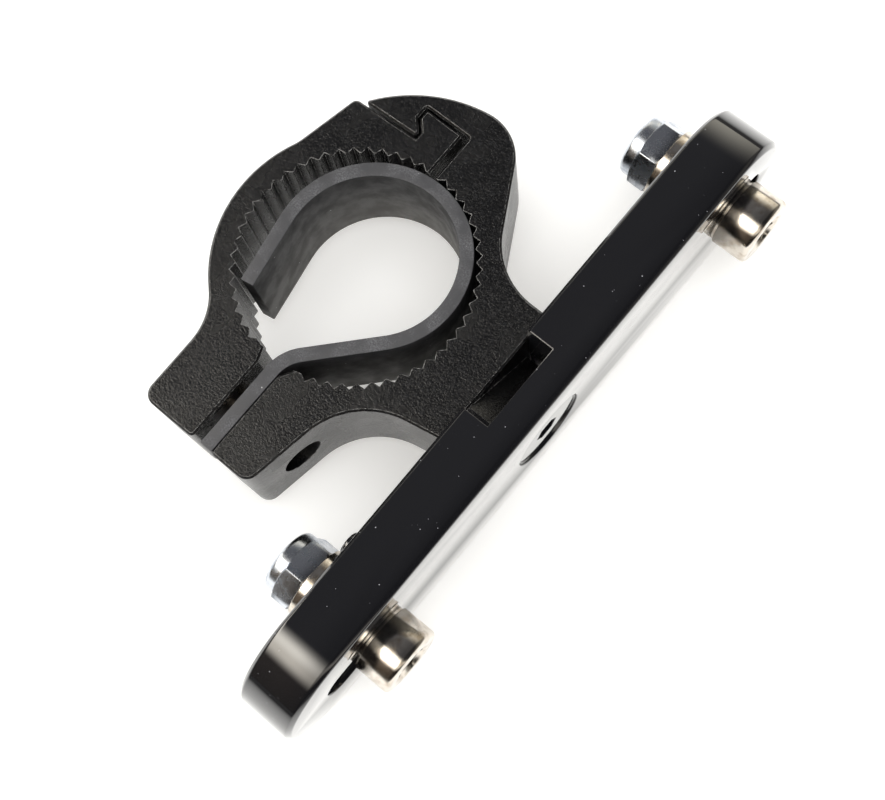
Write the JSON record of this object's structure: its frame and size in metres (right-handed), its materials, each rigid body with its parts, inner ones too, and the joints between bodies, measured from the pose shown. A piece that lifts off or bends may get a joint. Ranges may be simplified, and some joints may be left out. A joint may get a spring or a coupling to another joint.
{
  "type": "bottle cage adapter",
  "caption": "Toothed tube clamp with a rubber liner and a slotted rail whose sliding bolts take a bottle cage.",
  "frame": {"origin": "centre of the toothed clamp ring at mid height", "axes": "+Z along the ring's axis, +X to the rail and the bolt heads, +Y along the rail"},
  "size_m": [0.0499, 0.088, 0.02],
  "materials": {
    "black_coat": "black powder coat, fine grain",
    "black_gloss": "gloss black",
    "liner_rubber": "dark grey, matt",
    "bright_steel": "bright plated",
    "zinc_steel": "bluish zinc",
    "black_steel": "black, gloss",
    "nylon": "natural nylon"
  },
  "bodies": {
    "clamp_and_rail": {"clamp_body": "black_coat", "rubber_liner": "liner_rubber", "cage_rail": "black_gloss", "rail_screw": "black_steel"},
    "arm": {"clamp_arm": "black_coat"},
    "pinch": {"pinch_bolt": "bright_steel"},
    "lower_bolt_set": {"lower_cage_bolt": "bright_steel", "lower_front_washer": "bright_steel", "lower_back_washer": "bright_steel", "lower_nut_washer": "bright_steel", "lower_lock_nut": "zinc_steel", "lower_nylon_ring": "nylon"},
    "upper_bolt_set": {"upper_cage_bolt": "bright_steel", "upper_front_washer": "bright_steel", "upper_back_washer": "bright_steel", "upper_nut_washer": "bright_steel", "upper_lock_nut": "zinc_steel", "upper_nylon_ring": "nylon"}
  },
  "joints": [
    {"name": "arm_hinge", "type": "hinge", "parent": "clamp_and_rail", "child": "arm", "pos_m": [-0.005, 0.017, 0], "axis": [0, 0, 1], "range_deg": [-1.5, 1.05]},
    {"name": "pinch_bolt_travel", "type": "slide", "parent": "clamp_and_rail", "child": "pinch", "axis": [1, 0, 0], "range_m": [-0.001, 0.00072]},
    {"name": "lower_cage_bolt_slide", "type": "slide", "parent": "clamp_and_rail", "child": "lower_bolt_set", "axis": [0, 1, 0], "range_m": [-0.0059, 0]},
    {"name": "upper_cage_bolt_slide", "type": "slide", "parent": "clamp_and_rail", "child": "upper_bolt_set", "axis": [0, 1, 0], "range_m": [0, 0.0026]}
  ],
  "couplings": [
    {"joint": "pinch_bolt_travel", "follows": "arm_hinge", "m_per_rad": 0.037}
  ]
}
